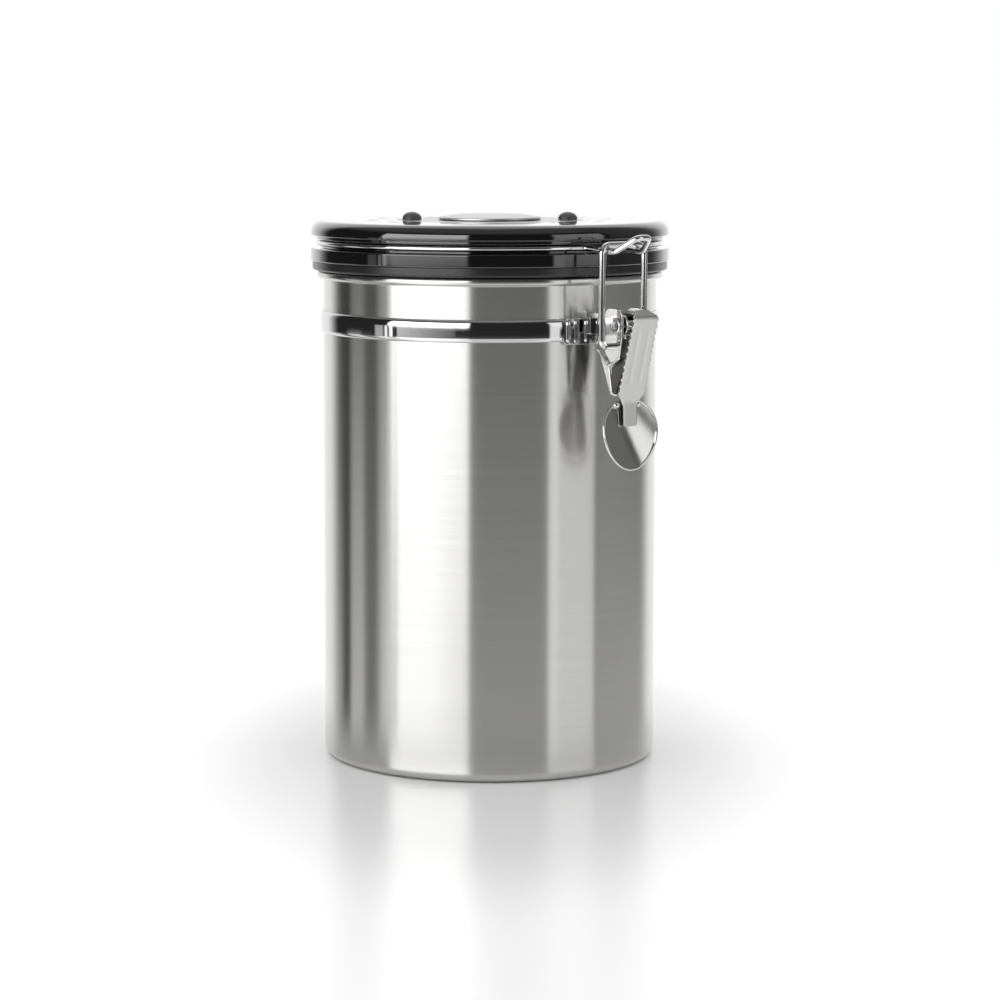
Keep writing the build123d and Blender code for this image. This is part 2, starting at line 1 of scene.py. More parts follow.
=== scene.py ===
import json
import math
import bpy
import bmesh
import numpy as np
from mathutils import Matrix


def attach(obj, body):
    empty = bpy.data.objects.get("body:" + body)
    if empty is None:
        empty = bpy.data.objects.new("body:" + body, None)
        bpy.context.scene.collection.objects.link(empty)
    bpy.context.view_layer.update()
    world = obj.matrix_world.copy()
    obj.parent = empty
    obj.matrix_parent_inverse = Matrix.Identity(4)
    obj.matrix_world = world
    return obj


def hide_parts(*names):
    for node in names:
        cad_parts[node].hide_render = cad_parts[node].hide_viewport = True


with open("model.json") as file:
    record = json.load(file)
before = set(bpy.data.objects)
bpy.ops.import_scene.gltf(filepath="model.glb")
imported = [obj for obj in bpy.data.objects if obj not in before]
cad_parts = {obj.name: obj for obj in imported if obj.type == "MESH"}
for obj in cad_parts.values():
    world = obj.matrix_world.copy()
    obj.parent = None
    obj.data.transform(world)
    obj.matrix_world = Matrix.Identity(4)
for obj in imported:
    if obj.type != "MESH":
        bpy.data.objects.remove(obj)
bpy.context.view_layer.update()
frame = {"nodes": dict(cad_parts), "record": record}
nodes = frame["nodes"]
mm = 0.001

viewSettings = {"side": 232.0, "distance": 1.0997, "height": 0.2274, "aside": 0.849, "pitch": -5.754,
                "lens": 112.3, "sensor": 36.0, "shiftX": 0.0565, "shiftY": -0.0754}


def aimCamera(s):
    # The camera stands at (d cos a, d sin a, height) and looks back along the azimuth a + 180 + aside
    data = bpy.data.cameras.new("camera")
    data.sensor_width, data.lens = s["sensor"], s["lens"]
    data.shift_x, data.shift_y = s["shiftX"], s["shiftY"]
    data.clip_start, data.clip_end = 0.01, 50.0
    camera = bpy.data.objects.new("camera", data)
    bpy.context.scene.collection.objects.link(camera)
    side = math.radians(s["side"])
    camera.location = (s["distance"] * math.cos(side), s["distance"] * math.sin(side), s["height"])
    camera.rotation_euler = (math.radians(90 + s["pitch"]), 0.0, side + math.radians(90 + s["aside"]))
    bpy.context.scene.camera = camera


aimCamera(viewSettings)
bpy.context.scene.view_settings.view_transform = "Standard"
print("camera placed")


class Value:
    # One socket of a node tree; arithmetic on it adds Math nodes
    def __init__(self, tree, socket):
        self.tree, self.socket = tree, socket

    def work(self, operation, *terms):
        return build(self.tree, "ShaderNodeMath", {"operation": operation}, dict(enumerate(terms)))

    def __add__(self, other): return self.work("ADD", self, other)
    def __radd__(self, other): return self.work("ADD", other, self)
    def __sub__(self, other): return self.work("SUBTRACT", self, other)
    def __rsub__(self, other): return self.work("SUBTRACT", other, self)
    def __mul__(self, other): return self.work("MULTIPLY", self, other)
    def __rmul__(self, other): return self.work("MULTIPLY", other, self)

    def clamped(self): return self.work("MAXIMUM", self.work("MINIMUM", self, 1.0), 0.0)
    def highest(self, other): return self.work("MAXIMUM", self, other)

    def step(self, low, high, start=0.0, end=1.0, way="SMOOTHSTEP"):
        # Goes from start to end while the value goes from low to high
        return build(self.tree, "ShaderNodeMapRange", {"interpolation_type": way},
                     {"Value": self, "From Min": low, "From Max": high, "To Min": start, "To Max": end})


def feed(tree, slot, term):
    if isinstance(term, Value):
        tree.links.new(term.socket, slot)
    else:
        slot.default_value = term


def build(tree, kind, settings=None, values=None, output=0):
    # Makes a node: its settings first, then the values or links of its sockets. Gives back one output,
    # or a list of them where several are named.
    node = tree.nodes.new(kind)
    for key, setting in (settings or {}).items():
        setattr(node, key, setting)
    for key, term in (values or {}).items():
        feed(tree, node.inputs[key], term)
    if isinstance(output, tuple):
        return [Value(tree, node.outputs[name]) for name in output]
    return Value(tree, node.outputs[output])


def grey(value):
    return (value, value, value, 1.0)


def mixColour(tree, factor, first, second):
    # Sockets 6 and 7 and output 2 are the node's colour ones
    return build(tree, "ShaderNodeMix", {"data_type": "RGBA"}, {0: factor, 6: first, 7: second}, 2)


# The studio as gloss and metal see it. Angles are degrees: "aside" is counted from the camera's side
# of the can, positive to its right, and "rise" is the height above the horizon.
studioSettings = {
    "white": 1.0, "ambient": 0.92, "dark": 0.022,
    "table": (-5.0, -15.0, 0.70), "ceiling": (26.0, 50.0, 0.24),
    "behind": ((-124, -146), (124, 150)),
    "panels": [
        {"aside": (-124, -113), "soft": 3, "rise": (-60, -7), "fade": 3, "bright": 0.10},
        {"aside": (-112, -97), "soft": 3, "rise": (-60, -6), "fade": 2, "bright": 0.82},
        {"aside": (-96, -86), "soft": 3, "rise": (-60, -7), "fade": 3, "bright": 0.28},
        {"aside": (-81, -73), "soft": 2, "rise": (-60, -8), "fade": 2, "bright": 1.1},
        {"aside": (-67, -40), "soft": 1.5, "rise": (-60, -8), "fade": 2, "bright": 1.66},
        {"aside": (-42, -14), "soft": 2, "rise": (-60, -8), "fade": 2, "bright": (1.7, 1.0)},
        {"aside": (-65, -23), "soft": 1, "rise": (-8.5, -2.5), "fade": 0.7, "bright": (0.68, 0.14)},
        {"aside": (-83.5, -76.5), "soft": 1, "rise": (-7.5, -2.5), "fade": 0.7, "bright": 0.5},
        {"aside": (-75, -73), "soft": 0.6, "rise": (-7.5, -2.5), "fade": 0.7, "bright": 1.4},
        {"aside": (-71.3, -68.7), "soft": 0.6, "rise": (-7.5, -2.5), "fade": 0.7, "bright": 1.6},
        {"aside": (-72, -14), "soft": 1.5, "rise": (-2.5, 25), "fade": 0.7, "bright": 3.2},
        {"aside": (41, 77), "soft": 1.5, "rise": (-60, -7), "fade": 2, "bright": 1.0},
        {"aside": (41, 77), "soft": 1.5, "rise": (-3, 25), "fade": 1, "bright": 1.08},
        {"aside": (41, 48), "soft": 1, "rise": (-8, -2), "fade": 1, "bright": 0.95},
        {"aside": (82, 135), "soft": 4, "rise": (-3, 60), "fade": 4, "bright": 0.16},
        {"aside": (80, 128), "soft": 3, "rise": (-60, -5), "fade": 2, "bright": 0.8, "cover": 0.2},
    ],
}


def makeStudio(s, front):
    # Each panel is painted over the rest by the product of four eased steps, in azimuth and in height. A
    # pair of brightnesses runs from the panel's left edge to its right one.
    world = bpy.data.worlds.new("studio")
    bpy.context.scene.world = world
    world.use_nodes = True
    tree = world.node_tree
    tree.nodes.clear()
    direction = build(tree, "ShaderNodeTexCoord", output="Generated")
    x, y, z = build(tree, "ShaderNodeSeparateXYZ", None, {0: direction}, ("X", "Y", "Z"))
    c, d = math.cos(math.radians(front)), math.sin(math.radians(front))
    across, ahead, toDegrees = y * c - x * d, x * c + y * d, 180 / math.pi
    aside = across.work("ARCTAN2", across, ahead) * toDegrees
    rise = z.work("ARCSINE", z) * toDegrees
    glow = s["dark"]
    for low, high, bright in (s["table"], s["ceiling"]):
        glow = glow + rise.step(low, high) * bright
    for panel in s["panels"]:
        (left, right), soft, (low, high), fade = panel["aside"], panel["soft"], panel["rise"], panel["fade"]
        mask = aside.step(left - soft, left + soft) * aside.step(right - soft, right + soft, 1.0, 0.0)
        mask = mask * rise.step(low - fade, low + fade) * rise.step(high - fade, high + fade, 1.0, 0.0)
        bright = panel["bright"]
        if isinstance(bright, tuple):
            bright = aside.step(left, right, *bright, "LINEAR")
        glow = glow + (bright - glow) * mask * panel.get("cover", 1.0)
    for edge in s["behind"]:
        glow = glow + (s["white"] - glow) * aside.step(*edge)
    isCamera, isGlossy, isThrough = build(tree, "ShaderNodeLightPath", output=(
        "Is Camera Ray", "Is Glossy Ray", "Is Transmission Ray"))
    seen = (isCamera + isThrough).clamped()
    strength = seen * s["white"] + (1.0 - seen) * (isGlossy * glow + (1.0 - isGlossy) * s["ambient"])
    back = build(tree, "ShaderNodeBackground", None, {"Color": grey(1.0), "Strength": strength})
    feed(tree, tree.nodes.new("ShaderNodeOutputWorld").inputs["Surface"], back)


makeStudio(studioSettings, viewSettings["side"])
print("studio lit")


metalGrain = 0.00005


def newMaterial(name):
    material = bpy.data.materials.new(name)
    material.use_nodes = True
    return material, material.node_tree, material.node_tree.nodes["Principled BSDF"]


def objectPlace(tree):
    return build(tree, "ShaderNodeTexCoord", output="Object")


def stretched(tree, place, scale):
    return build(tree, "ShaderNodeMapping", None, {"Vector": place, "Scale": scale})


def noise(tree, place, scale, detail, rough):
    return build(tree, "ShaderNodeTexNoise", None, {"Vector": place, "Scale": scale, "Detail": detail,
                                                    "Roughness": rough})


def addBump(tree, shader, height, s):
    # Small roughness of the surface, as deep as the grain in metres
    feed(tree, shader.inputs["Normal"], build(tree, "ShaderNodeBump", None, {
        "Height": height, "Strength": s["bump"], "Distance": s.get("grain", metalGrain)}))


def brushedSteel(name, s):
    # Fine lines run round the can: noise squeezed along its height. They vary the shade and the gloss.
    material, tree, shader = newMaterial(name)
    place = objectPlace(tree)
    lines = noise(tree, stretched(tree, place, (s["along"], s["along"], s["lines"])), 1.0, 4.0, 0.6)
    hairs = noise(tree, stretched(tree, place, (s["along"] * 3, s["along"] * 3, s["lines"] * 4)), 1.0, 2.0, 0.5)
    broad = noise(tree, place, s["broad"], 3.0, 0.5)
    shader.inputs["Metallic"].default_value = 1.0
    shade = s["base"] + (lines - 0.5) * s["streak"] + (hairs - 0.5) * s["streak"] + (broad - 0.5) * s["cloud"]
    feed(tree, shader.inputs["Base Color"], mixColour(tree, shade.clamped(), grey(0.0), s["tint"]))
    feed(tree, shader.inputs["Roughness"], s["rough"] + (lines - 0.5) * s["roughVary"])
    shader.inputs["Anisotropic"].default_value = s["anisotropy"]
    shader.inputs["Anisotropic Rotation"].default_value = s["turn"]
    addBump(tree, shader, hairs, s)
    return material


def plainMetal(name, s):
    # Broad smudges vary the shade and the gloss, and a fine grain gives the bump
    material, tree, shader = newMaterial(name)
    place = objectPlace(tree)
    smudge = noise(tree, place, s["smudgeScale"], 4.0, 0.55)
    fine = noise(tree, place, s["fineScale"], 3.0, 0.6)
    shader.inputs["Metallic"].default_value = 1.0
    shade = s["base"] + (smudge - 0.5) * s["smudge"]
    feed(tree, shader.inputs["Base Color"], mixColour(tree, shade.clamped(), grey(0.0), s["tint"]))
    feed(tree, shader.inputs["Roughness"], (s["rough"] + (smudge - 0.5) * s["roughVary"]).highest(0.02))
    addBump(tree, shader, fine, s)
    return material


def plainPlastic(name, s):
    # Broad clouds vary the shade and the gloss, and a fine grain gives the bump. Some have a clear gloss coat.
    material, tree, shader = newMaterial(name)
    place = objectPlace(tree)
    fine = noise(tree, place, s["fineScale"], 4.0, 0.6)
    broad = noise(tree, place, s["broadScale"], 3.0, 0.5)
    shade = s["base"] * (1.0 + (broad - 0.5) * s["vary"])
    feed(tree, shader.inputs["Base Color"], mixColour(tree, shade.clamped(), grey(0.0), s["tint"]))
    feed(tree, shader.inputs["Roughness"], s["rough"] + (broad - 0.5) * s["roughVary"])
    shader.inputs["IOR"].default_value = s.get("index", 1.5)
    shader.inputs["Coat Weight"].default_value = s.get("coat", 0.0)
    shader.inputs["Coat Roughness"].default_value = s["rough"]
    shader.inputs["Coat IOR"].default_value = s.get("index", 1.5)
    addBump(tree, shader, fine, s)
    return material


neutral, warm, bone = (1.0, 1.0, 1.0, 1.0), (1.0, 0.995, 0.975, 1.0), (1.0, 0.975, 0.92, 1.0)
finishes = {
    "brushed_can": brushedSteel("brushedCan", {
        "base": 0.62, "streak": 0.05, "cloud": 0.03, "tint": warm, "rough": 0.206, "roughVary": 0.03,
        "anisotropy": 0.90, "turn": 0.25, "along": 14.0, "lines": 1300.0, "broad": 25.0, "bump": 0.1,
        "grain": 0.00001}),
    "polished_band": plainMetal("polishedStrap", {
        "base": 0.72, "smudge": 0.05, "tint": neutral, "rough": 0.05, "roughVary": 0.03, "smudgeScale": 60.0,
        "fineScale": 900.0, "bump": 0.04}),
    "pressed_chrome": plainMetal("pressedSheet", {
        "base": 0.72, "smudge": 0.06, "tint": warm, "rough": 0.13, "roughVary": 0.08, "smudgeScale": 150.0,
        "fineScale": 700.0, "bump": 0.15}),
    "satinSheet": plainMetal("satinSheet", {
        "base": 0.70, "smudge": 0.10, "tint": warm, "rough": 0.40, "roughVary": 0.1, "smudgeScale": 90.0,
        "fineScale": 1200.0, "bump": 0.25}),
    # Painted shade: steel made near black, so that the latch's inner sheets look like the shaded inside of the
    # lever's channel
    "paintedShadeSheet": plainMetal("paintedShadeSheet", {
        "base": 0.09, "smudge": 0.10, "tint": warm, "rough": 0.35, "roughVary": 0.1, "smudgeScale": 90.0,
        "fineScale": 1200.0, "bump": 0.25}),
    "chrome_wire": plainMetal("chromeWire", {
        "base": 0.78, "smudge": 0.04, "tint": neutral, "rough": 0.06, "roughVary": 0.05, "smudgeScale": 120.0,
        "fineScale": 900.0, "bump": 0.04}),
    "silver_cap": plainMetal("turnedCap", {
        "base": 0.80, "smudge": 0.06, "tint": neutral, "rough": 0.48, "roughVary": 0.08, "smudgeScale": 80.0,
        "fineScale": 1500.0, "bump": 0.1}),
    "black_silicone": plainPlastic("blackSilicone", {
        "base": 0.014, "vary": 0.3, "tint": neutral, "rough": 0.24, "roughVary": 0.08, "fineScale": 3000.0,
        "broadScale": 80.0, "bump": 0.15, "grain": 0.00003, "index": 1.6}),
    "pale_silicone": plainPlastic("paleSilicone", {
        "base": 0.62, "vary": 0.08, "tint": bone, "rough": 0.5, "roughVary": 0.1, "fineScale": 3000.0,
        "broadScale": 120.0, "bump": 0.2, "grain": 0.00003}),
    "black_lid": plainPlastic("blackLid", {
        "base": 0.006, "vary": 0.2, "tint": neutral, "rough": 0.05, "roughVary": 0.03, "fineScale": 2200.0,
        "broadScale": 40.0, "bump": 0.02, "grain": 0.00003, "index": 1.6, "coat": 1.0}),
    "black_dial": plainPlastic("blackDial", {
        "base": 0.012, "vary": 0.2, "tint": neutral, "rough": 0.24, "roughVary": 0.06, "fineScale": 2200.0,
        "broadScale": 60.0, "bump": 0.04, "grain": 0.00003, "index": 1.6, "coat": 1.0}),
    "dullNub": plainPlastic("dullNub", {
        "base": 0.07, "vary": 0.2, "tint": neutral, "rough": 0.42, "roughVary": 0.06, "fineScale": 2200.0,
        "broadScale": 60.0, "bump": 0.04, "grain": 0.00003, "index": 1.6}),
    "black_inner": plainPlastic("blackInner", {
        "base": 0.02, "vary": 0.2, "tint": neutral, "rough": 0.42, "roughVary": 0.12, "fineScale": 2600.0,
        "broadScale": 60.0, "bump": 0.25, "grain": 0.00004}),
    "palePrint": plainPlastic("palePrint", {
        "base": 0.55, "vary": 0.1, "tint": neutral, "rough": 0.4, "roughVary": 0.1, "fineScale": 2500.0,
        "broadScale": 200.0, "bump": 0.1, "grain": 0.00002}),
    "felt": plainPlastic("pressedFelt", {
        "base": 0.74, "vary": 0.2, "tint": bone, "rough": 0.95, "roughVary": 0.05, "fineScale": 2500.0,
        "broadScale": 300.0, "bump": 0.8, "grain": 0.0002}),
}
slotOf = {part["node"]: part["material_slot"] for part in frame["record"]["subparts"]}
for name, node in nodes.items():
    node.data.materials.clear()
    node.data.materials.append(finishes[slotOf[name]])
print("finishes ready")


floorSettings = {"radius": 2.0, "seen": (0.30, 0.62), "mirrored": (0.075, 0.15), "shade": 0.93, "rough": 0.28,
                 "lift": (0.03, 0.2), "lifted": (0.062, 0.115), "slim": 2.2, "below": 0.0002}


def makeFloor(s, front):
    # The floor fades out with the distance from the can: far out for the eye, near the can for gloss. Its
    # lift to white grows with a distance that counts less towards the front than sideways.
    material, tree, shader = newMaterial("paleFloor")
    place = objectPlace(tree)
    far = build(tree, "ShaderNodeVectorMath", {"operation": "LENGTH"}, {0: place}, 1)
    isCamera, isGlossy = build(tree, "ShaderNodeLightPath", output=("Is Camera Ray", "Is Glossy Ray"))
    shader.inputs["Base Color"].default_value = grey(s["shade"])
    shader.inputs["Roughness"].default_value = s["rough"]
    slim = build(tree, "ShaderNodeMapping", {"vector_type": "TEXTURE"}, {
        "Vector": place, "Rotation": (0.0, 0.0, math.radians(front)), "Scale": (s["slim"], 1.0, 1.0)})
    aside = build(tree, "ShaderNodeVectorMath", {"operation": "LENGTH"}, {0: slim}, 1)
    lift = mixColour(tree, aside.step(*s["lifted"]), *(grey(value) for value in s["lift"]))
    feed(tree, shader.inputs["Emission Color"], mixColour(tree, isCamera, grey(0.0), lift))
    shader.inputs["Emission Strength"].default_value = 1.0
    wide, near = far.step(*s["seen"], 1.0, 0.0), far.step(*s["mirrored"], 1.0, 0.0)
    feed(tree, shader.inputs["Alpha"], wide + (near - wide) * isGlossy)
    mesh = bpy.data.meshes.new("floor")
    r = s["radius"]
    mesh.from_pydata([(-r, -r, 0.0), (r, -r, 0.0), (r, r, 0.0), (-r, r, 0.0)], [], [(0, 1, 2, 3)])
    floor = bpy.data.objects.new("floor", mesh)
    bpy.context.scene.collection.objects.link(floor)
    mesh.materials.append(material)
    floor.location.z = -s["below"]


makeFloor(floorSettings, viewSettings["side"])
print("floor laid")


def unit(vector):
    return vector / np.linalg.norm(vector, axis=-1, keepdims=True)


def roundedLine(corners, radii=0.0, closed=False, arcStep=9.0, hold=0.15, longest=8.0):
    # Straight runs through the corners, each corner replaced by an arc of its radius. The arc's points
    # slide from one tangent point to the other round its centre. Runs get a point near each end.
    corners = np.asarray(corners, float)
    count = len(corners)
    radii = np.broadcast_to(radii, count)
    pieces = []
    for i in range(count):
        here = corners[i]
        if radii[i] <= 0 or (not closed and i in (0, count - 1)):
            pieces.append(here[None])
            continue
        into, out = unit(here - corners[i - 1]), unit(corners[(i + 1) % count] - here)
        turn = math.acos(np.clip(into @ out, -1, 1))
        centre = here + unit(out - into) * radii[i] / math.cos(turn / 2)
        first = here - into * radii[i] * math.tan(turn / 2) - centre
        last = here + out * radii[i] * math.tan(turn / 2) - centre
        k = np.linspace(0, 1, max(3, math.ceil(math.degrees(turn) / arcStep) + 1))[:, None]
        pieces.append(centre + (np.sin((1 - k) * turn) * first + np.sin(k * turn) * last) / math.sin(turn))
    line = []
    for i, arc in enumerate(pieces):
        line.append(arc)
        if i + 1 == count and not closed:
            break
        low, high = arc[-1], pieces[(i + 1) % count][0]
        run = np.linalg.norm(high - low)
        if run > 3 * hold:
            share = np.linspace(hold / run, 1 - hold / run, max(2, math.ceil(run / longest) + 1))[:, None]
            line.append(low + (high - low) * share)
    return np.vstack(line)


def bentLine(corners, **how):
    # The same for corners that carry their own radius as third number
    corners = np.array(corners)
    return roundedLine(corners[:, :2], corners[:, 2], **how)


def turned(profile, steps=192, start=0.0, sweep=360.0):
    # Surface of revolution: the profile's point (r, z) goes to (r cos a, r sin a, z) at each angle a
    angle = np.radians(start + np.linspace(0, sweep, steps, endpoint=sweep < 360))
    r, z = np.asarray(profile).T
    return np.stack((np.outer(np.cos(angle), r), np.outer(np.sin(angle), r), np.tile(z, (steps, 1))), -1)


def swept(path, radius, reference, sides):
    # Round wire: circles of the given radius stand across the path. Their first axis is the reference
    # direction with its part along the path taken off, and the second is at right angles to both.
    path = np.asarray(path, float)
    along = unit(np.gradient(path, axis=0))
    first = unit(reference - (along @ reference)[:, None] * along)
    second = np.cross(along, first)
    angle = np.linspace(0, 2 * math.pi, sides, endpoint=False)
    radius = np.broadcast_to(radius, len(path))[:, None, None]
    ring = np.cos(angle)[None, :, None] * first[:, None] + np.sin(angle)[None, :, None] * second[:, None]
    return path[:, None] + radius * ring


def domedEnds(path, radius, steps=5):
    # Adds points past both ends whose radius falls to nothing along a quarter circle
    k = np.linspace(0, math.pi / 2, steps + 1)[1:]
    first, last = unit(path[0] - path[1]), unit(path[-1] - path[-2])
    before = path[0] + first * (radius * np.sin(k))[:, None]
    after = path[-1] + last * (radius * np.sin(k))[:, None]
    radii = np.concatenate((radius * np.cos(k)[::-1], np.full(len(path), radius), radius * np.cos(k)))
    return np.vstack((before[::-1], path, after)), np.maximum(radii, 0.0)


def shell(points, closeRows=False, closeColumns=True, caps=False):
    # Faces of a grid: each point joins its neighbours along and across; caps fill the first and last row
    rows, columns = points.shape[:2]
    index = np.arange(rows * columns).reshape(rows, columns)
    ends = [index[0][::-1].tolist(), index[-1].tolist()] if caps else []
    if closeRows:
        index = np.vstack((index, index[:1]))
    if closeColumns:
        index = np.hstack((index, index[:, :1]))
    quads = np.stack((index[:-1, :-1], index[1:, :-1], index[1:, 1:], index[:-1, 1:]), -1).reshape(-1, 4)
    return points.reshape(-1, 3), quads.tolist() + ends


def sheet(outline, thickness, edge, steps=3):
    # Flat plate with rounded edges: the outline is set in by e(1 - sin k) and stands e(1 - cos k) from
    # the face while k goes from 0 to a quarter turn, once for each face
    outline = np.asarray(outline, float)
    tangent = unit(np.roll(outline, -1, 0) - np.roll(outline, 1, 0))
    area = np.sum(outline[:, 0] * np.roll(outline[:, 1], -1) - np.roll(outline[:, 0], -1) * outline[:, 1])
    outward = np.stack((tangent[:, 1], -tangent[:, 0]), -1) * np.sign(area)
    k = np.linspace(0, math.pi / 2, steps + 1)
    inset = np.concatenate(([edge * 1.4], edge * (1 - np.sin(k)), edge * (1 - np.sin(k[::-1])), [edge * 1.4]))
    half, stand = thickness / 2, edge * (1 - np.cos(k))
    depth = np.concatenate(([-half], -half + stand, half - stand[::-1], [half]))
    flat = outline[None] - inset[:, None, None] * outward[None]
    return np.concatenate((flat, np.broadcast_to(depth[:, None, None], flat.shape[:2] + (1,))), -1)


def placed(points, origin, across, up, out):
    # Point (a, b, c) of a flat drawing goes to origin + a across + b up + c out
    across, up, out = (np.asarray(axis, float) for axis in (across, up, out))
    return np.asarray(origin, float) + points[..., :1] * across + points[..., 1:2] * up + points[..., 2:3] * out


def spun(points, degrees):
    # Turns points about the can's axis
    c, s = math.cos(math.radians(degrees)), math.sin(math.radians(degrees))
    return points @ np.array([[c, s, 0], [-s, c, 0], [0, 0, 1]])


def makePiece(name, shells, finish, body, stands=(), sharp=42.0):
    # Joins the shells into one mesh in metres, welds seams and poles, and turns the faces outwards
    points, faces, start = [], [], 0
    for part, quads in shells:
        points.append(part)
        faces += [[corner + start for corner in face] for face in quads]
        start += len(part)
    mesh = bpy.data.meshes.new(name)
    mesh.from_pydata((np.vstack(points) * mm).tolist(), [], faces)
    work = bmesh.new()
    work.from_mesh(mesh)
    bmesh.ops.remove_doubles(work, verts=work.verts, dist=1e-7)
    bmesh.ops.dissolve_degenerate(work, edges=work.edges, dist=1e-8)
    bmesh.ops.recalc_face_normals(work, faces=work.faces)
    openEdges = sum(1 for edge in work.edges if len(edge.link_faces) != 2)
    work.to_mesh(mesh)
    work.free()
    mesh.polygons.foreach_set("use_smooth", np.ones(len(mesh.polygons), bool))
    mesh.set_sharp_from_angle(angle=math.radians(sharp))
    piece = bpy.data.objects.new(name, mesh)
    bpy.context.scene.collection.objects.link(piece)
    mesh.materials.append(finishes[finish])
    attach(piece, body)
    for node in stands:
        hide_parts(node)
    print(name, len(mesh.polygons), "faces,", openEdges, "open edges")
    return piece


can = {"radius": 58.5, "wall": 0.8, "height": 171.6, "rimRadius": 60.8, "rimHeight": 2.6, "corner": 3.0,
       "panel": 46.0, "panelRise": 0.4, "panelBend": 0.8}


def canShells(s):
    # The section (radius, height) runs out under the base, up the wall, over the rolled rim and down inside
    inner, floor = s["radius"] - s["wall"], s["wall"]
    rimLow, bend = s["height"] - s["rimHeight"], s["panelBend"]
    profile = [(0, s["panelRise"], 0), (s["panel"], s["panelRise"], bend), (s["panel"] + 1.4, 0, bend),
               (s["radius"], 0, s["corner"]), (s["radius"], rimLow, 0.4), (s["rimRadius"], rimLow, 1.0),
               (s["rimRadius"], s["height"], 1.2), (inner, s["height"], 0.9),
               (inner, floor, s["corner"] - s["wall"]), (s["panel"] + 1.0, floor, bend),
               (s["panel"] - 0.4, floor + s["panelRise"], bend), (0, floor + s["panelRise"], 0)]
    return [shell(turned(bentLine(profile), 256), closeRows=True, closeColumns=False)]


makePiece("canBody", canShells(can), "brushed_can", "canister", ["canister_body"])

strap = {"inner": 58.6, "depth": 0.95, "low": 149.9, "high": 157.6, "lowRoll": 1.5, "highRoll": 2.5,
         "split": 3.0}


def strapShells(s):
    # The strap's section has a flat face and two rolled edges, each a quarter oval: (d cos k, h sin k)
    k = np.linspace(0, math.pi / 2, 12)
    low = np.stack((s["depth"] * np.sin(k), s["low"] + s["lowRoll"] * (1 - np.cos(k))), -1)
    high = np.stack((s["depth"] * np.cos(k), s["high"] - s["highRoll"] * (1 - np.sin(k))), -1)
    line = np.vstack((low, high)) + (s["inner"], 0)
    gap = math.degrees(s["split"] / 2 / s["inner"])
    return [shell(turned(line, 240, 90 + gap, 360 - 2 * gap - 1e-6), caps=True)]


makePiece("neckStrap", strapShells(strap), "polished_band", "canister", ["clamp_band"])

seal = {"inner": 56.5, "outer": 62.4, "low": 171.9, "high": 175.0, "round": 0.7,
        "tongue": (57.75, 61.55, 176.8)}


def sealShells(s):
    # A ring with a tongue on top that sits in the lid's channel, its section turned once round
    left, right, top = s["tongue"]
    profile = [(s["inner"], s["low"], s["round"]), (s["outer"], s["low"], s["round"]),
               (s["outer"], s["high"], 0.25), (right, s["high"], 0), (right, top, 0.3), (left, top, 0.3),
               (left, s["high"], 0), (s["inner"], s["high"], 0.25)]
    return [shell(turned(bentLine(profile, closed=True), 224), closeRows=True)]


makePiece("sealRing", sealShells(seal), "black_silicone", "lid", ["gasket"])

lid = {"skirt": 63.1, "lip": 63.0, "skirtLow": 175.05, "grooveLow": 179.6, "stepLow": 182.7, "lipLow": 184.0,
       "top": 189.1, "grooveFloor": 59.1, "step": 61.2, "cavity": 56.2, "plateLow": 185.7, "recess": 187.5,
       "recessRadius": 32.8, "bore": 12.0, "channel": (57.65, 61.65, 176.95), "shoulder": 4.0}


def lidShells(s):
    # The section, turned once round, runs from the vent's bore out under the plate, round the ring's
    # channel, up the skirt, in and out of the wire's groove, and back over the shoulder and the top
    left, right, channelTop = s["channel"]
    profile = [(s["bore"], s["plateLow"], 0.2), (s["cavity"], s["plateLow"], 1.0),
               (s["cavity"], s["skirtLow"], 0.2), (left, s["skirtLow"], 0.1), (left, channelTop, 0.1),
               (right, channelTop, 0.1), (right, s["skirtLow"], 0.1), (s["skirt"], s["skirtLow"], 0.45),
               (s["skirt"], s["grooveLow"], 0.45), (s["grooveFloor"], s["grooveLow"], 0.25),
               (s["grooveFloor"], s["stepLow"], 0.25),
               (s["step"], s["stepLow"], 0.25), (s["step"], s["lipLow"], 0.2), (s["lip"], s["lipLow"], 0.35),
               (s["lip"], s["top"], s["shoulder"]), (s["recessRadius"], s["top"], 0.3),
               (s["recessRadius"], s["recess"], 0.15), (s["bore"], s["recess"], 0.3)]
    return [shell(turned(bentLine(profile, closed=True, arcStep=7), 256), closeRows=True)]


makePiece("lidMoulding", lidShells(lid), "black_lid", "lid", ["lid_shell"])

dial = {"inner": 16.6, "outer": 32.5, "low": 187.7, "top": 189.1, "nubRadius": 3.35, "nubCircle": 27.4,
        "nubTop": 191.85, "nubPost": 0.55, "nubFoot": 0.35, "nubSink": 0.4, "angle": -38.0}


def dialShells(s):
    # A flat ring: its rectangular section with rounded corners is turned once round
    profile = [(s["inner"], s["low"], 0.15), (s["outer"], s["low"], 0.15), (s["outer"], s["top"], 0.35),
               (s["inner"], s["top"], 0.35)]
    return [shell(turned(bentLine(profile, closed=True)), closeRows=True)]


def nubShells(s):
    # Each nub is a short post with a half ball on top, (r cos k, base + high sin k), turned round its middle
    r, foot = s["nubRadius"], s["top"]
    ball, wide, low = foot + s["nubPost"], r + s["nubFoot"], foot - s["nubSink"]
    high = s["nubTop"] - foot - s["nubPost"]
    dome = bentLine([(0, low, 0), (wide, low, 0), (wide, foot, 0.1), (r, foot, 0.3), (r, ball, 0)], hold=0.03)
    k = np.linspace(0, math.pi / 2, 15)[1:]
    dome = np.vstack((dome, np.stack((r * np.cos(k), ball + high * np.sin(k)), -1)))
    dome[-1, 0] = 0.0
    nub = turned(dome, 48)
    return [shell(spun(nub + np.array((side * s["nubCircle"], 0, 0)), s["angle"]), closeRows=True,
                  closeColumns=False) for side in (-1, 1)]


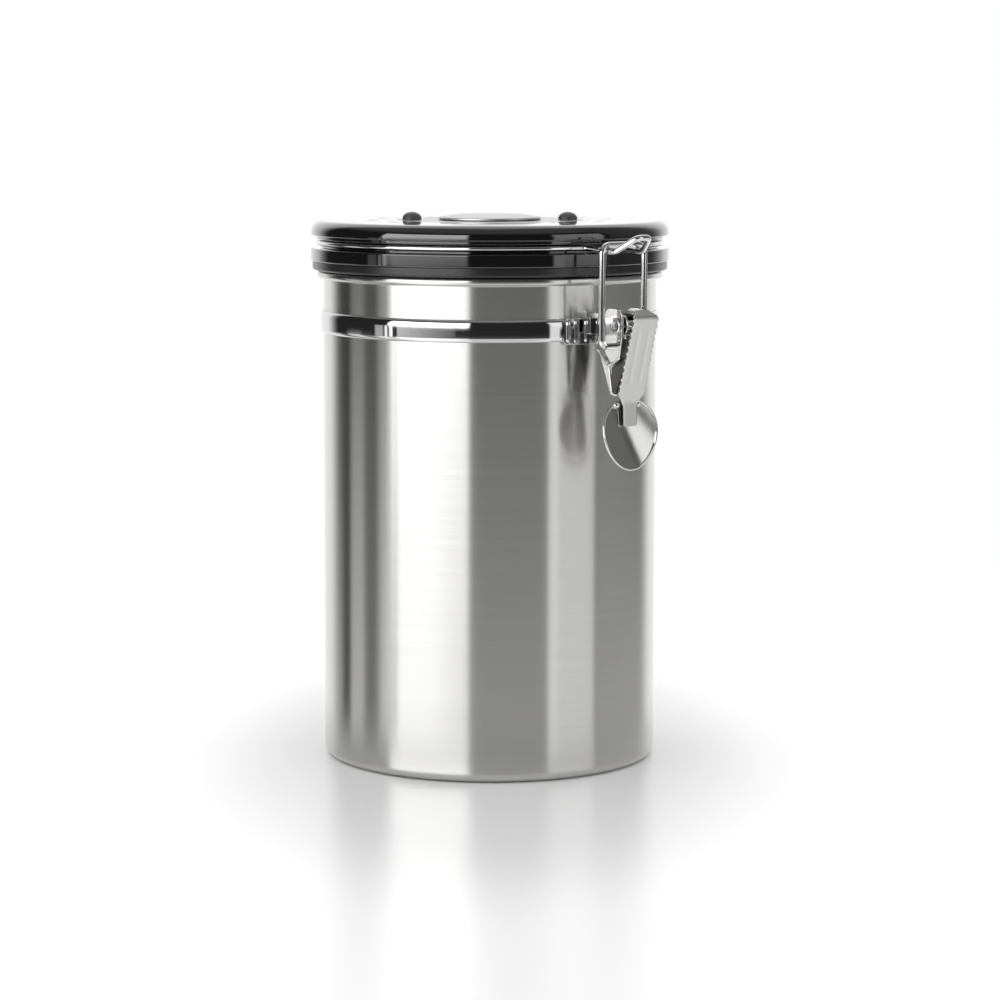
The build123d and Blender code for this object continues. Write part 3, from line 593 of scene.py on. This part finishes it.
makePiece("dialRing", dialShells(dial), "black_dial", "dial", ["date_dial"])
makePiece("dialNubs", nubShells(dial), "dullNub", "dial", ["date_dial"])

cap = {"radius": 18.0, "low": 189.3, "rim": 190.1, "plateau": 11.0, "high": 191.1, "dome": 191.3}


def capShells(s):
    # A low disc whose top slopes up from the rim to a nearly flat middle, turned once round
    profile = [(0, s["low"], 0), (s["radius"], s["low"], 0.15), (s["radius"], s["rim"], 0.35),
               (s["plateau"], s["high"], 2.0), (0, s["dome"], 0)]
    return [shell(turned(bentLine(profile), 160), closeRows=True, closeColumns=False)]


makePiece("ventCap", capShells(cap), "silver_cap", "lid", ["centre_cap"])

lidWire = {"wire": 1.0, "radius": 60.3, "height": 181.4, "leave": 8.4, "neck": 6.2, "saddle": 75.0,
           "dip": 1.0, "tip": 82.5, "tipHeight": 185.4, "tipHalf": 2.6, "bends": (2.2, 5.5, 2.4),
           "leg": 9.3, "legLeave": 14.1, "hingeY": 66.0, "hingeZ": 153.4, "pinTip": 6.2,
           "legBends": (1.55, 2.4, 2.16)}


def lidWirePath(s):
    # One wire: hinge leg, half circle (r cos a, r sin a) in the groove, nose in front, and the mirror of both
    z, radius, leave = s["height"], s["radius"], s["leave"]
    leaveY = math.sqrt(radius ** 2 - leave ** 2)
    neckY = leaveY + (leave - s["neck"]) * leave / leaveY
    legY = math.sqrt(radius ** 2 - s["legLeave"] ** 2)
    turnY = legY + (s["legLeave"] - s["leg"]) * s["legLeave"] / legY
    leg = roundedLine([(s["pinTip"], s["hingeY"], s["hingeZ"]), (s["leg"], s["hingeY"], s["hingeZ"]),
                       (s["leg"], s["hingeY"], z), (s["leg"], turnY, z), (s["legLeave"], legY, z)],
                      [0, *s["legBends"], 0], arcStep=8, hold=0.1, longest=3.0)
    angle = np.linspace(math.atan2(legY, s["legLeave"]), math.atan2(-leaveY, leave), 100)[1:-1]
    arc = np.stack((radius * np.cos(angle), radius * np.sin(angle), np.full(len(angle), z)), -1)
    nose = [(leave, -leaveY, z), (s["neck"], -neckY, z), (s["neck"], -s["saddle"], z - s["dip"]),
            (s["tipHalf"], -s["tip"], s["tipHeight"])]
    nose = roundedLine(nose + [(-x, y, h) for x, y, h in reversed(nose)],
                       [0, *s["bends"], *s["bends"][::-1], 0], arcStep=6, hold=0.1, longest=1.5)
    mirror = np.array((-1, 1, 1))
    return np.vstack((leg, arc, nose, (arc * mirror)[::-1], (leg * mirror)[::-1]))


def wireShells(path, radius, reference, sides):
    # A round wire with domed ends along the path
    path, radii = domedEnds(path, radius)
    return [shell(swept(path, radii, unit(np.array(reference)), sides))]


makePiece("lidWire", wireShells(lidWirePath(lidWire), lidWire["wire"], (0.65, 0.25, 0.72), 24), "chrome_wire",
          "lid", ["wire_hoop"])

bail = {"wire": 1.1, "out": 72.3, "half": 9.2, "foot": 149.0, "bar": 182.767, "tip": 3.8, "bends": (2.0, 3.2)}


def bailPath(s):
    # A rectangular loop, open below, with its feet turned in
    foot, top = s["bends"]
    corners = [(s["tip"], s["foot"]), (s["half"], s["foot"]), (s["half"], s["bar"])]
    corners += [(-x, z) for x, z in reversed(corners)]
    return roundedLine([(x, -s["out"], z) for x, z in corners], [0, foot, top, top, foot, 0], arcStep=6,
                       hold=0.1, longest=3.0)


makePiece("bailLoop", wireShells(bailPath(bail), bail["wire"], (0.0, 1.0, 0.0), 28), "chrome_wire", "bail",
          ["bail_wire"])

plate = {"inner": 59.6, "outer": 60.4, "low": 149.0, "high": 157.8, "corner": 1.3, "edge": 0.22, "beadEnd": 0.7}
latchPlate = {**plate, "half": 13.6, "azimuth": -90.0, "ear": 3.0, "earSheet": 0.8, "earRound": 3.8,
              "earFoot": 3.8, "pivotOut": 74.95, "pivotUp": 156.0,
              "beads": [(12.3, 0.7), (9.6, 0.45), (5.6, 0.6)]}
hingePlate = {**plate, "half": 19.0, "azimuth": 90.0, "ear": 7.55, "earSheet": 0.9, "earRound": 2.9,
              "earFoot": 3.2, "pivotOut": 66.0, "pivotUp": 153.4, "beads": [(17.4, 0.7)]}


def bentPlate(s):
    # Plate wrapped round the can: a rounded rectangle (depth, height) is carried along the arc. Towards
    # both ends it gets lower by c(1 - cos k) while it moves on by c sin k, which rounds the corners.
    middle, height = (s["inner"] + s["outer"]) / 2, (s["low"] + s["high"]) / 2
    thick, tall, corner = (s["outer"] - s["inner"]) / 2, (s["high"] - s["low"]) / 2, s["corner"]
    loop = roundedLine([(-thick, -tall), (thick, -tall), (thick, tall), (-thick, tall)], s["edge"], closed=True,
                       arcStep=22, hold=0.1, longest=1.2)
    reach = math.radians(s["half"]) * middle
    k = np.linspace(0, math.pi / 2, 9)
    ending, drop = reach - corner + corner * np.sin(k), corner * (1 - np.cos(k))
    run = np.linspace(-(reach - corner), reach - corner, 40)[1:-1]
    along = np.concatenate((-ending[::-1], run, ending))
    lower = np.concatenate((drop[::-1], np.zeros(len(run)), drop))
    up = loop[None, :, 1] - np.sign(loop[None, :, 1]) * np.minimum(lower[:, None], abs(loop[None, :, 1]))
    out = middle + np.broadcast_to(loop[None, :, 0], up.shape)
    turn = math.radians(s["azimuth"]) + np.broadcast_to(along[:, None], up.shape) / middle
    return shell(np.stack((out * np.cos(turn), out * np.sin(turn), height + up), -1), caps=True)


def bracketShells(s):
    # Each ear is a flat drawing (outwards, up): a foot on the plate and an arc round the pivot. The beads
    # are half-round ribs that stand upright on the plate, each at its angle from the middle.
    side = 1 if s["azimuth"] > 0 else -1
    foot = math.sqrt(s["inner"] ** 2 - s["ear"] ** 2) + 0.2
    angle = np.radians(np.linspace(-80, 80, 27))
    tip = np.stack((np.cos(angle), np.sin(angle)), -1) * s["earRound"] + (s["pivotOut"], s["pivotUp"])
    ear = np.vstack(([(foot, s["pivotUp"] - s["earFoot"])], tip, [(foot, s["pivotUp"] + s["earFoot"])]))
    drawn = sheet(ear, s["earSheet"], 0.2)
    beads = []
    for angle, radius in s["beads"]:
        for turn in (math.radians(s["azimuth"] - angle), math.radians(s["azimuth"] + angle)):
            z = np.linspace(s["low"] + radius + s["beadEnd"], s["high"] - radius - s["beadEnd"], 8)
            path = np.stack((s["outer"] * np.cos(turn) + 0 * z, s["outer"] * np.sin(turn) + 0 * z, z), -1)
            beads += wireShells(path, radius, (math.cos(turn), math.sin(turn), 0.0), 20)
    ears = [shell(placed(drawn, (x, 0, 0), (0, side, 0), (0, 0, 1), (1, 0, 0)), caps=True)
            for x in (-s["ear"], s["ear"])]
    return beads + [bentPlate(s)] + ears


makePiece("latchPlate", bracketShells(latchPlate), "polished_band", "canister", ["latch_bracket"])
makePiece("hingePlate", bracketShells(hingePlate), "polished_band", "canister", ["hinge_bracket"])

pin = {"radius": 1.45, "head": 2.7, "headInner": 5.25, "headOuter": 6.05, "eyelet": 1.15, "eyeletDepth": 0.6,
       "eyeletSlope": 0.2}
rivets = {"shank": 1.2, "inner": 58.55, "headLow": 60.45, "headHigh": 61.15, "head": 2.1, "angle": 12.5,
          "height": 153.4}


def pinShells(s, plate):
    # Half a section (radius, place along the pin), with a dished head, is mirrored and turned once round
    near, far, slope = s["headInner"], s["headOuter"], s["eyeletSlope"]
    half = [(0, far - s["eyeletDepth"], 0), (s["eyelet"] - slope, far - s["eyeletDepth"], 0.15),
            (s["eyelet"] + slope, far, 0.2), (s["head"], far, 0.48), (s["head"], near, 0.1),
            (s["radius"], near, 0.05)]
    line = bentLine(half + [(r, -x, bend) for r, x, bend in reversed(half)], hold=0.05)
    return [shell(placed(turned(line, 48), (0, -plate["pivotOut"], plate["pivotUp"]), (0, 1, 0), (0, 0, 1),
                         (1, 0, 0)), closeRows=True, closeColumns=False)]


def rivetShells(s):
    # Shank and domed head are turned round the rivet's own middle, which points out from the can
    profile = [(0, s["inner"], 0), (s["shank"], s["inner"], 0.1), (s["shank"], s["headLow"], 0.05),
               (s["head"], s["headLow"], 0.1), (s["head"] - 0.25, s["headHigh"] - 0.1, 0.5),
               (0, s["headHigh"], 0)]
    rivet = turned(bentLine(profile, hold=0.05), 40)
    parts = []
    for turn in (90 - s["angle"], 90 + s["angle"]):
        c, d = math.cos(math.radians(turn)), math.sin(math.radians(turn))
        parts.append(shell(placed(rivet, (0, 0, s["height"]), (-d, c, 0), (0, 0, 1), (c, d, 0)), closeRows=True,
                           closeColumns=False))
    return parts


makePiece("leverPin", pinShells(pin, latchPlate), "polished_band", "canister", ["lever_pivot_pin"])
makePiece("strapRivets", rivetShells(rivets), "polished_band", "canister", ["band_rivets"])

# Places are outwards and upwards from the lever's pivot
lever = {"pivot": (74.95, 156.0), "sheet": 0.9, "webTop": (9.8, 2.9), "webFoot": (1.1, -23.4),
         "topHalf": 5.6, "footHalf": 6.0, "teeth": 12, "toothDepth": 0.7,
         "tongueHalf": 3.0, "tongueBend": (1.15, -25.4), "tongueEnd": (1.35, -33.8), "tongueRound": 8.0,
         "tongueTips": [(0.0, 0.7), (0.25, 0.25), (0.9, 0.0)], "neck": (3.6, 0.5), "neckIn": 1.2,
         "lip": (2.4, 2.5), "lipHalf": 3.0, "lipBend": 0.78, "ribs": 2.1, "ribWidth": 1.3, "ribDepth": 0.15,
         "ribEnd": 4.0, "ribFade": 1.5, "crownWide": 0.35, "crown": 0.3, "flange": 4.65, "proud": 4.95,
         "proudSheet": 1.5,
         "flangeShape": [(-5.9, 5.6, 2.6), (2.9, 5.6, 2.6), (2.9, -3.7, 1.0), (1.75, -11.0, 0.6),
                         (-2.6, -14.4, 1.0), (-1.6, -21.4, 0.8), (0.6, -22.2, 0.3), (0.65, -23.6, 0.3),
                         (-2.1, -23.6, 0.6), (-5.9, -8.6, 0.8)],
         "proudShape": [(-8.4, -8.6, 0.4), (-2.9, -13.6, 1.0), (-1.5, -21.8, 0.8), (-0.5, -22.9, 0.3),
                        (-2.1, -23.4, 0.4)],
         "cheekShape": [(2.0, -4.4, 0.5), (6.4, -4.4, 0.3), (0.5, -23.0, 0.3), (-2.2, -22.6, 0.3),
                        (-2.9, -13.4, 0.3), (1.2, -10.6, 0.3)],
         "cheek": 3.4, "cheekLean": 0.1, "edge": 0.22,
         "hem": [(-8.3, -8.7, 0), (-2.9, -13.7, 1.6), (1.7, -11.0, 0)], "hemOut": 5.45,
         "hemRadius": (0.8, 0.45), "stub": (-0.4, -26.6), "stubOut": 4.7,
         "stubRadius": (1.5, 1.3), "paddle": (2.1, -36.5), "paddleHalf": (11.9, 12.2), "paddleSheet": 0.72,
         "dish": 45.0, "dishTall": 0.4, "dishTurn": 28.0, "dishShare": 0.92, "egg": 0.05, "tilt": 6.0,
         "rim": 0.6, "rimTurn": 0.62}


def webShell(s):
    # A strip is carried along a line (outwards, up) from the tongue's end up the web and over the folded
    # lip. Its half width goes between the named widths, with the teeth as a triangle wave on it. Two ribs
    # are pressed in, each exp(-(x / w)^4) deep, and the edges are crowned by 1 - sqrt(1 - x^2).
    foot, top, t = np.array(s["webFoot"]), np.array(s["webTop"]), s["sheet"] / 2
    length = np.linalg.norm(top - foot)
    rise = (top - foot) / length
    normal = np.array((rise[1], -rise[0]))
    tip = top + np.array((-s["lip"][0], s["lip"][1]))
    lipNormal = unit(np.array((s["lip"][1], s["lip"][0])))
    corner = top - unit(normal + lipNormal) * t / math.cos(math.acos(normal @ lipNormal) / 2)
    high = tip - lipNormal * t
    lipStart = corner + unit(high - corner) * s["lipBend"]
    webEnd = corner - rise * s["lipBend"]
    web = roundedLine([s["tongueEnd"], s["tongueBend"], webEnd], [0, s["tongueRound"], 0], arcStep=3, hold=0.05,
                      longest=0.22)
    k = np.linspace(0, 1, 9)[1:, None]
    bend = (1 - k) ** 2 * webEnd + 2 * k * (1 - k) * corner + k ** 2 * lipStart
    lip = lipStart + (high - lipStart) * np.linspace(0, 1, 10)[1:, None]
    line = np.vstack((web, bend, lip))
    along = unit(np.gradient(line, axis=0))
    across = np.stack((along[:, 1], -along[:, 0]), -1)
    reach = np.concatenate(([0], np.cumsum(np.linalg.norm(np.diff(line, axis=0), axis=1))))
    start = np.interp(foot[1], line[:len(web), 1], reach[:len(web)])
    reach = reach - start
    narrow, trim, (neckLow, neckHigh) = s["tongueHalf"], s["toothDepth"] / 2, s["neck"]
    places = [up - start for up, less in s["tongueTips"]] + [-neckLow, -neckHigh, 0, length, reach[-1]]
    widths = [narrow - less for up, less in s["tongueTips"]] + [
        narrow, s["footHalf"] - s["neckIn"], s["footHalf"] - trim, s["topHalf"] - trim, s["lipHalf"]]
    half = np.interp(reach, places, widths)
    wave = abs((reach / length * s["teeth"]) % 1.0 - 0.5) * 2
    toothed = ((reach > 0) & (reach < length)).astype(float)
    half = half + toothed * s["toothDepth"] * (0.5 - wave)
    loop = roundedLine([(-1, -t), (1, -t), (1, t), (-1, t)], 0.0, closed=True, hold=0.02, longest=0.11)
    x, depth = loop[:, 0][None] * half[:, None], np.broadcast_to(loop[:, 1][None], (len(line), len(loop)))
    inside = np.clip(np.minimum(reach - s["ribEnd"], length - s["ribEnd"] - reach) / s["ribFade"], 0, 1)
    rib = np.exp(-((abs(x) - s["ribs"]) / (s["ribWidth"] / 2)) ** 4) * s["ribDepth"] * inside[:, None]
    edge = np.clip((half[:, None] - abs(x)) / s["crownWide"], 0, 1)
    crown = (1 - np.sqrt(1 - (1 - edge) ** 2)) * s["crown"]
    depth = depth - rib - np.sign(depth) * np.minimum(crown, t * 0.6)
    out = line[:, None, 0] + across[:, None, 0] * depth
    up = line[:, None, 1] + across[:, None, 1] * depth
    return shell(np.stack((x, -(s["pivot"][0] + out), s["pivot"][1] + up), -1), caps=True)


def paddleShell(s):
    # Point (q, a) lies at q times the oval's radii, as deep as a ball that is stretched along a slanting
    # line, with a rolled rim: the profile goes out over the front, round the rim and back over the rear
    wide, tall = s["paddleHalf"]
    rim, t = s["rim"], s["paddleSheet"]
    q = np.linspace(0, s["dishShare"], 24)
    k = np.linspace(math.pi * s["rimTurn"], -math.pi * s["rimTurn"], 17)
    angle = np.linspace(0, 2 * math.pi, 120, endpoint=False)[:, None]
    share = np.concatenate((q, np.ones(len(k)), q[::-1]))[None]
    grow = np.concatenate((np.zeros(len(q)), rim * np.cos(k) - rim, np.zeros(len(q))))[None]
    lift = np.concatenate((np.zeros(len(q)), rim * np.sin(k), np.full(len(q), -t)))[None]
    egg = 1 + s["egg"] * np.sin(angle)
    x = (wide * egg * share + grow) * np.cos(angle)
    y = (tall * share + grow) * np.sin(angle)
    turn = math.radians(s["dishTurn"])
    u, v = x * math.cos(turn) + y * math.sin(turn), (y * math.cos(turn) - x * math.sin(turn)) * s["dishTall"]
    deep = math.sqrt(s["dish"] ** 2 - wide ** 2) - np.sqrt(s["dish"] ** 2 - u ** 2 - v ** 2)
    tilt = math.radians(s["tilt"])
    outwards, upwards = (0, -math.cos(tilt), math.sin(tilt)), (0, math.sin(tilt), math.cos(tilt))
    origin = (0, -(s["pivot"][0] + s["paddle"][0]), s["pivot"][1] + s["paddle"][1])
    return shell(placed(np.stack((x, y, deep + lift), -1), origin, (1, 0, 0), upwards, outwards),
                 closeRows=True, closeColumns=False)


def leverDrawing(s, shape, thick):
    # Flat plate of the named outline, whose corners carry their radii
    return sheet(bentLine(s[shape], closed=True, arcStep=10, hold=0.1), thick, s["edge"])


def leverShells(s):
    # Flanges and raised parts are flat drawings. A hem of round section lies along each raised part's top,
    # and a small round stub, (w cos k, l sin k) turned round its middle, closes each foot.
    out, up = s["pivot"]
    parts = []
    for shape, middle, thick in (("flangeShape", s["flange"], s["sheet"]),
                                 ("proudShape", s["proud"], s["proudSheet"])):
        drawn = leverDrawing(s, shape, thick)
        for x in (-middle, middle):
            parts.append(shell(placed(drawn, (x, -out, up), (0, -1, 0), (0, 0, 1), (1, 0, 0)), caps=True))
    hem = bentLine(s["hem"], arcStep=6, hold=0.1, longest=1.0) + (out, up)
    for side in (-1, 1):
        path = np.stack((np.full(len(hem), side * s["hemOut"]), -hem[:, 0], hem[:, 1]), -1)
        path, domes = domedEnds(path, 1.0)
        thick = np.interp(np.arange(len(path)), [0, len(path) - 1], s["hemRadius"])
        parts.append(shell(swept(path, domes * thick, np.array((1.0, 0.0, 0.0)), 20)))
        wide, long = s["stubRadius"]
        k = np.linspace(-math.pi / 2, math.pi / 2, 13)
        ball = turned(np.stack((wide * np.cos(k), long * np.sin(k)), -1), 28)
        parts.append(shell(ball + (side * s["stubOut"], -(out + s["stub"][0]), up + s["stub"][1]),
                           closeRows=True, closeColumns=False))
    return parts


def cheekShells(s):
    # The inner sheet between each flange and the web, coloured near black as painted shade for the channel's dark
    # inside, a flat drawing that leans out towards its foot
    out, up = s["pivot"]
    cheek = leverDrawing(s, "cheekShape", s["sheet"])
    cheek[..., 2] += s["cheek"] - (cheek[..., 1] - s["cheekShape"][0][1]) * s["cheekLean"]
    return [shell(placed(cheek, (0, -out, up), (0, -1, 0), (0, 0, 1), (side, 0, 0)), caps=True)
            for side in (-1, 1)]


# The cheeks carry the painted shade between each flange and the web
makePiece("latchCheeks", cheekShells(lever), "paintedShadeSheet", "lever", ["latch_lever"])
makePiece("latchFlanges", leverShells(lever), "pressed_chrome", "lever", ["latch_lever"])
makePiece("latchWeb", [webShell(lever)], "satinSheet", "lever", ["latch_lever"])
makePiece("thumbPaddle", [paddleShell(lever)], "pressed_chrome", "lever", ["latch_lever"])

marks = {"count": 12, "tickFrom": 34.0, "tickTo": 36.2, "tickWide": 0.6, "proud": 0.03, "numbers": 41.0,
         "size": 5.2, "markFrom": 31.25, "markTo": 32.2, "markWide": 1.1}


def barShell(near, far, wide, height, proud, turn):
    # A short flat stroke that points at the can's axis
    corners = [(near, -wide / 2), (far, -wide / 2), (far, wide / 2), (near, wide / 2)]
    drawn = sheet(roundedLine(corners, wide * 0.3, closed=True, arcStep=20), 2 * proud, proud * 0.5)
    return shell(spun(drawn + np.array((0, 0, height)), turn), caps=True)


def numberShells(s, height):
    # Each numeral is made a mesh first, and then its points are set out and turned to its hour
    parts = []
    for i in range(s["count"]):
        data = bpy.data.curves.new("number", "FONT")
        data.body, data.size, data.align_x, data.align_y = str(i + 1), s["size"], "CENTER", "CENTER"
        data.extrude = s["proud"]
        text = bpy.data.objects.new("number", data)
        mesh = bpy.data.meshes.new_from_object(text)
        flat = np.zeros(len(mesh.vertices) * 3)
        mesh.vertices.foreach_get("co", flat)
        turn = -i * 360 / s["count"]
        written = flat.reshape(-1, 3) + np.array((0, s["numbers"], height))
        parts.append((spun(written, turn), [list(face.vertices) for face in mesh.polygons]))
        bpy.data.objects.remove(text)
        bpy.data.curves.remove(data)
        bpy.data.meshes.remove(mesh)
    return parts


ticks = [barShell(marks["tickFrom"], marks["tickTo"], marks["tickWide"], lid["top"], marks["proud"],
                  i * 360 / marks["count"]) for i in range(marks["count"])]
makePiece("lidMarks", ticks + numberShells(marks, lid["top"]), "palePrint", "lid")
mark = barShell(marks["markFrom"], marks["markTo"], marks["markWide"], dial["top"], marks["proud"], dial["angle"])
makePiece("dialMark", [mark], "palePrint", "dial")

liner = {"inner": 10.85, "outer": 56.0, "low": 173.9, "high": 175.9, "curb": 54.0, "curbHigh": 178.9,
         "rings": (20.0, 38.0), "ringWide": 1.2, "ringDeep": 0.35, "ringSlope": 0.3}


def linerShells(s):
    # A disc with a raised curb and two grooves pressed in from below, its section turned once round
    profile = [(s["inner"], s["low"], 0.15)]
    for ring in s["rings"]:
        far, deep = ring + s["ringWide"], s["low"] + s["ringDeep"]
        profile += [(ring, s["low"], 0.15), (ring + s["ringSlope"], deep, 0.15), (far, deep, 0.15),
                    (far + s["ringSlope"], s["low"], 0.15)]
    profile += [(s["outer"], s["low"], 0.5), (s["outer"], s["curbHigh"], 0.3), (s["curb"], s["curbHigh"], 0.3),
                (s["curb"], s["high"], 0.8), (s["inner"], s["high"], 0.3)]
    return [shell(turned(bentLine(profile, closed=True)), closeRows=True)]


makePiece("linerDisc", linerShells(liner), "black_inner", "lid", ["lid_liner"])
